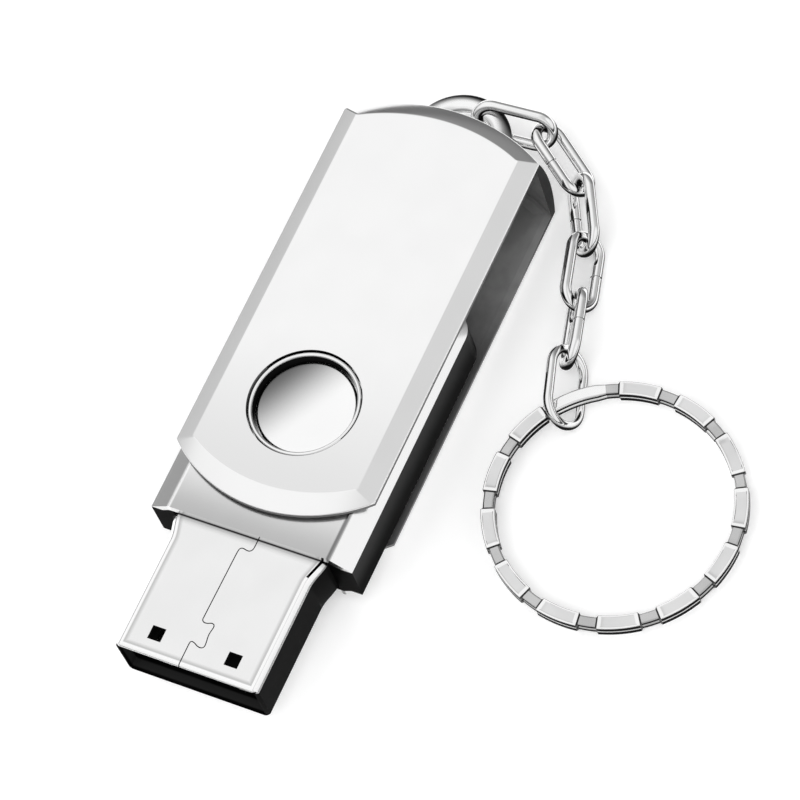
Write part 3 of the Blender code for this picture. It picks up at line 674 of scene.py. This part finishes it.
def make_hole_lip(side, node):
    """A rolled bright lip round the cover's hole."""
    outer = HOLE_RADIUS - LIP_OUT
    inner = HOLE_RADIUS - LIP_IN
    low = BODY_HALF_THICK + LIP_FLOAT
    roll = (outer - inner) / 2
    high = COVER_THICK / 2 - LIP_SINK - roll
    profile = [(outer, low), (outer, high)]
    profile += [(inner + roll + roll * cos(a), high + roll * sin(a))
                for a in [pi * i / 12 for i in range(1, 12)]]
    profile += [(inner, high), (inner, low)]
    lip = turned(node.replace("pivot_ring", "hole_lip"), profile, side, "pivot")
    smooth(lip)
    return place(lip, "cover", "pivot_chrome", node)


def make_disc(side, node):
    """The pivot disc: slightly dished, with a rounded rim."""
    low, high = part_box("upper_pivot_disc")
    radius = (high.y - low.y) / 2
    top = high.z - PIVOT.z
    seat = BODY_HALF_THICK + GAP
    stem_end = low.z - PIVOT.z
    flat = radius - DISC_ROLL
    profile = [(flat * i / 12, top - DISC_DISH * (1 - (i / 12) ** 2)) for i in range(13)]
    profile += [(flat + DISC_ROLL * sin(a), top - DISC_ROLL + DISC_ROLL * cos(a))
                for a in [pi / 2 * i / 8 for i in range(1, 9)]]
    profile += [(radius, seat), (STEM_RADIUS, seat), (STEM_RADIUS, stem_end), (0.0, stem_end)]
    disc = turned(node.replace("pivot_disc", "disc"), profile, side, "disc")
    smooth(disc)
    return place(disc, "drive", "disc_chrome", node)


# ---------------------------------------------------------------- body

def body_ring(inset, z, front_extra=0.0):
    """The body's outline, moved in at its sides and rear, with round rear corners."""
    half = BODY_HALF_WIDTH - inset
    front = BODY_FRONT + front_extra
    rear = -BODY_REAR + inset
    radius = REAR_RADIUS
    left = arc((rear + radius, half - radius), radius, 90, 180, 28)
    right = arc((rear + radius, radius - half), radius, 180, 270, 28)
    return [Vector((PIVOT.x + x, y, PIVOT.z + z))
            for x, y in [(front, -half), (front, half), *left, *right]]


def casing_insets():
    """How far the casing's inner side is in from the body's outline, low and high."""
    rise = BODY_HALF_THICK - FRAME_HALF_HEIGHT
    slope = rise / BODY_CHAMFER
    low = CASING_SIDE_WALL * sqrt(1 + 1 / slope ** 2)
    high = low + (rise - CASING_TOP_WALL) / slope
    return low, high, slope


def make_casing(side, node):
    """One bright half of the body: a sheet, open below and in front."""
    casing = loft(node + "_skin", [body_ring(0, side * (FRAME_HALF_HEIGHT + GAP)),
                                   body_ring(BODY_CHAMFER, side * BODY_HALF_THICK)], "casing")
    round_edges(casing, CASING_EDGE)
    low, high, slope = casing_insets()
    below = 0.3 * MM  # the hollow starts this far past the casing's open side
    past_front = 2 * MM
    carve(casing, loft("casing_hollow", [
        body_ring(low - below / slope, side * (FRAME_HALF_HEIGHT - below), past_front),
        body_ring(high, side * (BODY_HALF_THICK - CASING_TOP_WALL), past_front),
    ]))
    centre = PIVOT + Vector((0, 0, side * BODY_HALF_THICK))
    carve(casing, cylinder("casing_hole", centre, (0, 0, 1), STEM_RADIUS + GAP, 2 * MM))
    smooth(casing)
    return place(casing, "drive", "casing_metal", node)


def make_frame():
    """The black middle of the body, with its board bay and its mouth for the plug."""
    low, high, _ = casing_insets()
    step = FRAME_HALF_HEIGHT - 0.5 * GAP
    lip = BODY_HALF_THICK - CASING_TOP_WALL - GAP
    lip_in = 2 * GAP
    foot = step + 0.02 * MM  # the lip starts just above the side wall's top
    rings = [body_ring(high + lip_in, -lip), body_ring(low + lip_in, -foot),
             body_ring(0, -step), body_ring(0, step),
             body_ring(low + lip_in, foot), body_ring(high + lip_in, lip)]
    black = loft("body_core", rings, "frame")
    rear = PIVOT.x - BODY_REAR + FRAME_WALL
    front = PIVOT.x + BODY_FRONT - FRAME_WALL
    half = BODY_HALF_WIDTH - FRAME_WALL
    board_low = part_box("circuit_board")[0].z - GAP
    carve(black, box("bay", (rear, -half, board_low), (front, half, 2 * COVER_THICK)))
    carve(black, box("bay_floor", (rear + LEDGE_WIDTH, LEDGE_WIDTH - half, -COVER_THICK),
                     (front - LEDGE_WIDTH, half - LEDGE_WIDTH, PIVOT.z)))
    mouth = PLUG_HALF_WIDTH + PLUG_FLARE + GAP
    carve(black, box("mouth", (PIVOT.x + PLUG_REAR - 2 * GAP, -mouth, -COVER_THICK),
                     (PIVOT.x + PLUG_TIP, mouth, 2 * COVER_THICK)))
    smooth(black)
    return place(black, "drive", "frame_plastic", "body_frame")


# ---------------------------------------------------------------- plug

def plug_half_width(x):
    """Half the shell's width at a distance from the pivot: it widens at the body."""
    share = (x - FLARE_START) / (PLUG_FLARE_END - FLARE_START)
    return PLUG_HALF_WIDTH + PLUG_FLARE * (1 - ease(share))


def corner_curve(centre, radius, quarter, steps=12):
    """A corner of a sheet bent on a press: flatter in the middle than a round one."""
    points = []
    for i in range(steps + 1):
        a = pi / 2 * i / steps
        u = radius * cos(a) ** 1.55 if i < steps else 0.0
        v = radius * sin(a) ** 1.55
        turn = Matrix.Rotation(pi / 2 * quarter, 2)
        points.append(Vector(centre) + turn @ Vector((u, v)))
    return points


def plug_ring(x, inset):
    """A rounded rectangle across the plug."""
    half_y = plug_half_width(x) - inset
    half_z = PLUG_HALF_HEIGHT - inset
    radius = max(PLUG_CORNER - inset, 0.12 * MM)
    points = []
    for quarter, (sy, sz) in enumerate(((1, 1), (-1, 1), (-1, -1), (1, -1))):
        centre = (sy * (half_y - radius), sz * (half_z - radius))
        points += corner_curve(centre, radius, quarter)
    return [Vector((PIVOT.x + x, y, PIVOT.z + z)) for y, z in points]


def round_corners(points, reach, rounds):
    """The line with each corner cut off a few times, so that it bends smoothly."""
    for _ in range(rounds):
        line = [points[0]]
        for before, corner, after in zip(points, points[1:], points[2:]):
            for end in (before, after):
                side = end - corner
                line.append(corner + side * min(0.25, reach / side.length))
        points = [*line, points[-1]]
    return points


def seam_path():
    """The seam along the shell's top: two straight runs with a dovetail between them."""
    lock = [(19.85, -0.53), (19.76, -0.40), (19.82, -0.15), (20.0, 0.15), (20.04, 0.5),
            (19.85, 0.69), (19.45, 0.65), (19.05, 0.57), (18.65, 0.57), (18.25, 0.66),
            (18.0, 0.6), (17.95, 0.35), (18.1, 0.05), (18.1, -0.27), (17.92, -0.43),
            (17.7, -0.42)]
    step = [(12.05, -0.34), (11.75, -0.28), (11.67, -0.05), (11.75, 0.25), (11.76, 0.5),
            (11.6, 0.68), (11.4, 0.73)]
    tip = [(PLUG_TIP / MM + 1, -0.52)]
    points = [Vector(p) * MM for p in [*tip, *lock, *step, (PLUG_REAR / MM - 1, 0.78)]]
    return round_corners(points, 0.12 * MM, 3)


def seam_cutter():
    """A thin upright ribbon along the seam."""
    bm = bmesh.new()
    top = PIVOT.z + PLUG_HALF_HEIGHT
    columns = []
    for x, y in seam_path():
        columns.append([bm.verts.new((PIVOT.x + x, y, z))
                        for z in (top - 2 * PLUG_SHEET, top + 1 * MM)])
    for a, b in zip(columns, columns[1:]):
        bm.faces.new((a[0], b[0], b[1], a[1]))
    ribbon = object_from_bmesh(bm, "seam", None)
    solid = ribbon.modifiers.new("width", "SOLIDIFY")
    solid.thickness = SEAM_WIDTH
    solid.offset = 0.0
    return apply_modifiers(ribbon)


def corner_slit():
    """A slanting relief cut at the shell's right shoulder, by the body."""
    half = Vector((SLIT_LENGTH / 2, SLIT_WIDTH / 2, 1 * MM))
    slit = box("slit", -half, half)
    slit.location = (PIVOT.x + SLIT_X, SLIT_Y, PIVOT.z + PLUG_HALF_HEIGHT)
    slit.rotation_euler = Euler((0.0, 0.0, radians(SLIT_TURN)))
    return slit


def paint_shell_inside(obj):
    """The shell's inner faces are painted near black, a painted shade. Its tip and its back end
    stay bright.
    """
    obj.data.materials.append(MATERIALS["plug_inside_painted_shade"])
    for face in obj.data.polygons:
        centre = face.center - PIVOT
        half_y = plug_half_width(centre.x) - 0.6 * PLUG_SHEET
        half_z = PLUG_HALF_HEIGHT - 0.6 * PLUG_SHEET
        inside = abs(centre.y) < half_y and abs(centre.z) < half_z
        face.material_index = int(inside and abs(face.normal.x) < 0.9)


def make_plug():
    """The shell: a tube with rolled lips, two windows, a seam and a relief slit."""
    outer_lip, inner_lip = 0.2 * MM, 0.06 * MM
    stations = [PLUG_REAR, FLARE_START]
    stations += [BODY_FRONT + (PLUG_FLARE_END - BODY_FRONT) * i / FLARE_STEPS
                 for i in range(FLARE_STEPS + 1)]
    rings = [plug_ring(x, 0.0) for x in stations]
    tip = corner_curve((PLUG_TIP - outer_lip, -outer_lip), outer_lip, 0)
    rings += [plug_ring(x, -inset) for x, inset in reversed(tip)]
    rings += [plug_ring(PLUG_TIP - inner_lip * t, PLUG_SHEET - inner_lip * (1 - t))
              for t in (0.0, 0.5, 1.0)]
    rings += [plug_ring(x, PLUG_SHEET) for x in reversed(stations)]
    shell = loft("plug_skin", rings, "plug", wrap=True)
    half = WINDOW_SIZE / 2
    for y in (-WINDOW_Y, WINDOW_Y):
        low = (PIVOT.x + WINDOW_X - half, y - half, 0.0)
        high = (PIVOT.x + WINDOW_X + half, y + half, COVER_THICK)
        carve(shell, box("window", low, high))
    carve(shell, seam_cutter())
    carve(shell, corner_slit())
    smooth(shell, 40.0)
    paint_shell_inside(shell)
    return place(shell, "drive", "plug_steel", "plug_shell")


# ---------------------------------------------------------------- loop and chain

def oval(half_a, half_b, power=2.0, count=24):
    """A superellipse outline: power 2 is an ellipse, and more is squarer."""
    points = []
    for i in range(count):
        c, s = cos(2 * pi * i / count), sin(2 * pi * i / count)
        a = half_a * abs(c) ** (2 / power) * (1 if c > 0 else -1)
        b = half_b * abs(s) ** (2 / power) * (1 if s > 0 else -1)
        points.append((a, b))
    return points


def make_loop():
    """The half ring of wire on the bend, with its ends riveted over inside."""
    low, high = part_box("key_loop")
    radius = (high.z - low.z) / 2
    bend = (high.y - low.y) / 2 - radius
    centre_x = low.x + radius + bend
    round_wire = oval(radius, radius, 2.0, 32)
    up = Vector((0, 0, 1))
    stations = []
    for x, y, angle in [(high.x, bend, 90.0)] + [
            (centre_x + bend * cos(radians(a)), bend * sin(radians(a)), a)
            for a in [90 + 180 * i / 48 for i in range(49)]] + [(high.x, -bend, 270.0)]:
        outward = Vector((cos(radians(angle)), sin(radians(angle)), 0))
        stations.append((Vector((x, y, PIVOT.z)), outward, up, round_wire))
    loop = sweep("loop_wire", stations, "loop")
    rivet_height, rivet_radius = 0.4 * MM, 1.5 * radius
    for y in (-bend, bend):
        head = cylinder("rivet", (high.x - rivet_height / 2, y, PIVOT.z), (1, 0, 0),
                        rivet_radius, rivet_height, 48)
        carve(loop, head, "UNION")
    smooth(loop, 40.0)
    return place(loop, "cover", "chain_chrome", "key_loop")


def own_axes(node):
    """A flat oval node's centre, its long, wide and thin axes, and its half sizes on them."""
    points = np.array([v.co for v in frame["nodes"][node].data.vertices])
    points = np.unique(points.round(8), axis=0)
    _, vectors = np.linalg.eigh(np.cov((points - points.mean(0)).T))
    axes = [Vector(vectors[:, i]) for i in (2, 1, 0)]
    spans = [points @ np.array(axis) for axis in axes]
    middle = sum((axis * float(s.max() + s.min()) / 2 for axis, s in zip(axes, spans)),
                 Vector())
    return middle, axes, [float(s.max() - s.min()) / 2 for s in spans]


def make_link(index):
    """An oval of wire, with the butt joint of its two ends in one long side."""
    node = f"chain_link_{index}"
    centre, (along, across, thin), (length, width, radius) = own_axes(node)
    bend = width - radius
    run = length - width
    squared = oval(radius, radius, 2.3, 28)
    joint = oval(radius * 0.86, radius * 0.86, 2.3, 28)
    stations = []
    joint_half = 0.05 * MM
    straight = [-run, -joint_half * 1.6, -joint_half, joint_half, joint_half * 1.6]
    for s in straight:
        outline = joint if abs(s) <= joint_half else squared
        stations.append((centre + along * s - across * bend, -across, thin, outline))
    for i in range(33):
        a = pi * i / 32 - pi / 2
        outward = along * cos(a) + across * sin(a)
        stations.append((centre + along * run + outward * bend, outward, thin, squared))
    for i in range(33):
        a = pi * i / 32 + pi / 2
        outward = along * cos(a) + across * sin(a)
        stations.append((centre - along * run + outward * bend, outward, thin, squared))
    stations.pop()
    link = sweep(f"link_wire_{index}", stations, "wire", closed=True)
    smooth(link, 50.0)
    return place(link, f"link_{index}", "chain_chrome", node)


# ---------------------------------------------------------------- split ring

def ring_height(angle):
    """The wire's height on its way round: low for a turn, then high, with a smooth step."""
    rise = RING_COIL + GAP
    share = (angle - (360.0 - RING_STEP_ANGLE)) / RING_STEP_ANGLE
    return rise * (ease(share) - 0.5)


def ring_outline(half_width, half_height, corner, groove):
    """A rounded flat section, whose two faces can be pressed in by a groove."""
    points = []
    for quarter, (sa, sb) in enumerate(((1, 1), (-1, 1), (-1, -1), (1, -1))):
        centre = (sa * (half_width - corner), sb * (half_height - corner))
        points += arc(centre, corner, 90 * quarter, 90 * quarter + 90, 4)
        if quarter in (0, 2):
            inset = (half_width - corner) * 0.84
            for share in (1.0, 0.92, -0.92, -1.0):
                depth = groove if abs(share) < 1 else 0.0
                points.append((sa * inset * share, sb * (half_height - depth)))
    return points


def ring_stations(total):
    """Angles along the coil, each with the name of its section."""
    stations = [(float(angle), "plain") for angle in range(0, int(total), 2)]
    stations.append((total, "plain"))
    for index in range(floor(total / PANEL_PITCH)):
        start = (index + 0.25) * PANEL_PITCH
        stop = start + PANEL_LENGTH
        if start % 360.0 < PLAIN_STOP and stop % 360.0 > PLAIN_START:
            continue
        tail = stop + PANEL_PITCH - PANEL_LENGTH
        stations = [s for s in stations if not start - PANEL_STEP <= s[0] < tail]
        stations += [(start - PANEL_STEP, "neck"), (start, "border"),
                     (start + PANEL_BORDER, "border"),
                     (start + 1.3 * PANEL_BORDER, "panel")]
        inner = start + 1.3 * PANEL_BORDER
        length = PANEL_LENGTH - 2.6 * PANEL_BORDER
        stations += [(inner + length * i / 7, "panel") for i in range(1, 8)]
        stations += [(stop - PANEL_BORDER, "border"), (stop, "border"),
                     (stop + PANEL_STEP, "neck")]
        free = PANEL_PITCH - PANEL_LENGTH - 2 * PANEL_STEP
        stations += [(stop + PANEL_STEP + free * i / 4, "neck") for i in range(1, 4)]
    return sorted(s for s in stations if s[0] <= total)


def paint_ring(obj, names, count):
    """Stamped panels are matt, the steps at their ends are painted dark as painted shade, and
    the necks are darker and rougher.
    """
    for finish in ("ring_stamped", "ring_step_painted_shade", "ring_neck"):
        obj.data.materials.append(MATERIALS[finish])
    groove = [i for i in range(count) if ring_outline(1.0, 1.0, 0.1, 0.5)[i][1] in (0.5, -0.5)]
    for face in obj.data.polygons[2:]:
        station, index = divmod(face.index - 2, count)
        kinds = {names[station], names[station + 1]}
        if kinds == {"panel"} and index in groove and (index + 1) % count in groove:
            face.material_index = 1
        # Painted shade: the steps at the panels' ends are painted dark.
        elif kinds == {"border", "neck"}:
            face.material_index = 2
        elif kinds == {"neck"}:
            face.material_index = 3


def make_split_ring():
    """Two turns of stamped flat wire, leaning on the last link."""
    contact = JOINTS["link_6_to_ring"]
    inner = RING_OUTER - RING_BAND
    reach = inner - RING_GAP
    heading = radians(RING_HEADING)
    away = Vector((cos(heading), sin(heading), 0.0))
    tilt = asin(RING_LIFT / (RING_OUTER + reach))
    centre = Vector((contact.x, contact.y, 0.0)) + away * reach
    centre.z = RING_COIL + GAP / 2 + RING_OUTER * tan(tilt) + 0.02 * MM
    turn = Euler((0.0, tilt, heading)).to_matrix()
    middle = (RING_OUTER + inner) / 2
    half_width = RING_BAND / 2
    half_height = RING_COIL / 2
    outlines = {
        "plain": ring_outline(half_width * 0.93, half_height * 0.96, 0.2 * MM, 0.0),
        "panel": ring_outline(half_width, half_height, 0.07 * MM, 0.035 * MM),
        "border": ring_outline(half_width, half_height, 0.07 * MM, 0.0),
        "neck": ring_outline(half_width * 0.74, half_height * 0.84, 0.15 * MM, 0.0),
    }
    stations = ring_stations(720.0 - RING_STEP_ANGLE - RING_END_GAP)
    path = []
    for angle, kind in stations:
        a = radians(angle + RING_STEP_START)
        outward = Vector((cos(a), sin(a), 0.0))
        point = outward * middle + Vector((0, 0, ring_height(angle)))
        path.append((centre + turn @ point, turn @ outward, turn @ Vector((0, 0, 1)),
                     outlines[kind]))
    ring = sweep("split_ring", path, "ring")
    smooth(ring)
    paint_ring(ring, [kind for _, kind in stations], len(outlines["plain"]))
    return place(ring, "ring", "ring_chrome", "key_ring")


# ---------------------------------------------------------------- inner parts

def dress_inner_parts():
    """The CAD nodes that stay as they are get their materials."""
    finishes = {"plug_tongue": "tongue", "circuit_board": "board", "memory_chip": "chip",
                "controller_chip": "chip", "crystal": "can"}
    for name in frame["nodes"]:
        kind = name.split("_")[0]
        by_kind = {"contact": "gold", "capacitor": "capacitor", "resistor": "resistor"}
        finish = finishes.get(name) or by_kind.get(kind)
        if finish:
            node = frame["nodes"][name]
            for slot in node.material_slots:
                slot.material = MATERIALS[finish]


# ---------------------------------------------------------------- studio

def make_floor():
    """Pale paper, just under the drive."""
    bm = bmesh.new()
    bmesh.ops.create_grid(bm, x_segments=1, y_segments=1, size=FLOOR_HALF)
    bm.transform(Matrix.Translation((0, 0, -0.01 * MM)))
    ground = object_from_bmesh(bm, "floor", None)
    material, nodes, where, _ = start_material("floor_paper")
    tone = nodes.noise(where, 30.0, 2.0)
    colour = mix_colours(nodes, tone, grey(0.93), grey(0.95))
    end_material(nodes, {"Base Color": colour, "Roughness": 0.9, "Specular IOR Level": 0.1,
                         "Emission Color": grey(1.0), "Emission Strength": 0.2})
    ground.data.materials.append(material)


def make_world():
    """A white studio: bright above, dim near the horizon, darker behind the bend."""
    world = bpy.data.worlds.new("studio")
    bpy.context.scene.world = world
    world.use_nodes = True
    world.node_tree.nodes.clear()
    nodes = Nodes(world.node_tree)
    direction = nodes.add("TexCoord").outputs["Generated"]
    height = axis_of(nodes, direction, 2)
    across = axis_of(nodes, direction, 1)
    along = axis_of(nodes, direction, 0)
    horizon = nodes.ramp(along, -0.95, -0.6, 0.5, 0.02)
    dome = nodes.math("ADD", nodes.ramp(height, 0.09, 0.22, horizon, 0.86),
                      nodes.ramp(height, 0.24, 0.84, 0.0, 0.11))
    behind = nodes.ramp(along, -0.95, -0.45, 0.3, 1.0)
    left = nodes.ramp(across, -0.92, -0.75, 0.72, 1.0)
    strip = nodes.math("MULTIPLY", nodes.ramp(across, 0.0, 0.42, 1.0, 0.72),
                       nodes.ramp(across, 0.48, 0.66, 1.0, 1.4))
    seen = nodes.math("MULTIPLY", nodes.math("MULTIPLY", dome, behind),
                      nodes.math("MULTIPLY", strip, left))
    camera_ray = nodes.add("LightPath").outputs["Is Camera Ray"]
    strength = nodes.add("Mix", {0: camera_ray, 2: seen, 3: 0.95})
    background = nodes.add("Background", {"Color": grey(1.0), "Strength": strength.outputs[0]})
    nodes.add("OutputWorld", {"Surface": background.outputs[0]})


def aimed(name, data, target, azimuth, elevation, distance, roll=0.0):
    """A lamp or camera that looks at a target, from angles in degrees."""
    a, e = radians(azimuth), radians(elevation)
    back = Vector((sin(a) * cos(e), -cos(a) * cos(e), sin(e)))
    obj = bpy.data.objects.new(name, data)
    bpy.context.scene.collection.objects.link(obj)
    obj.location = target + back * distance
    obj.rotation_mode = "QUATERNION"
    turn = Quaternion((0, 0, 1), radians(-roll))
    obj.rotation_quaternion = (-back).to_track_quat("-Z", "Y") @ turn
    return obj


def make_light():
    """A square softbox that points at the drive. Reflections don't show it."""
    data = bpy.data.lights.new("softbox", "AREA")
    data.size = SOFTBOX_SIZE
    data.energy = SOFTBOX_POWER
    lamp = aimed("softbox", data, PIVOT, SOFTBOX_AZIMUTH, SOFTBOX_ELEVATION, SOFTBOX_DISTANCE)
    lamp.visible_glossy = False


def make_camera():
    data = bpy.data.cameras.new("camera")
    data.lens = CAMERA_LENS
    data.clip_start = 0.01
    bpy.context.scene.camera = aimed("camera", data, CAMERA_TARGET, CAMERA_AZIMUTH,
                                     CAMERA_ELEVATION, CAMERA_DISTANCE, CAMERA_ROLL)


make_camera()
make_floor()
make_world()
make_light()
bpy.context.scene.view_settings.view_transform = "Standard"

make_cover()
make_hole_lip(1, "upper_pivot_ring")
make_hole_lip(-1, "lower_pivot_ring")
make_disc(1, "upper_pivot_disc")
make_disc(-1, "lower_pivot_disc")
make_casing(1, "upper_casing")
make_casing(-1, "lower_casing")
make_frame()
make_plug()
make_loop()
for number in range(1, 7):
    make_link(number)
make_split_ring()
dress_inner_parts()
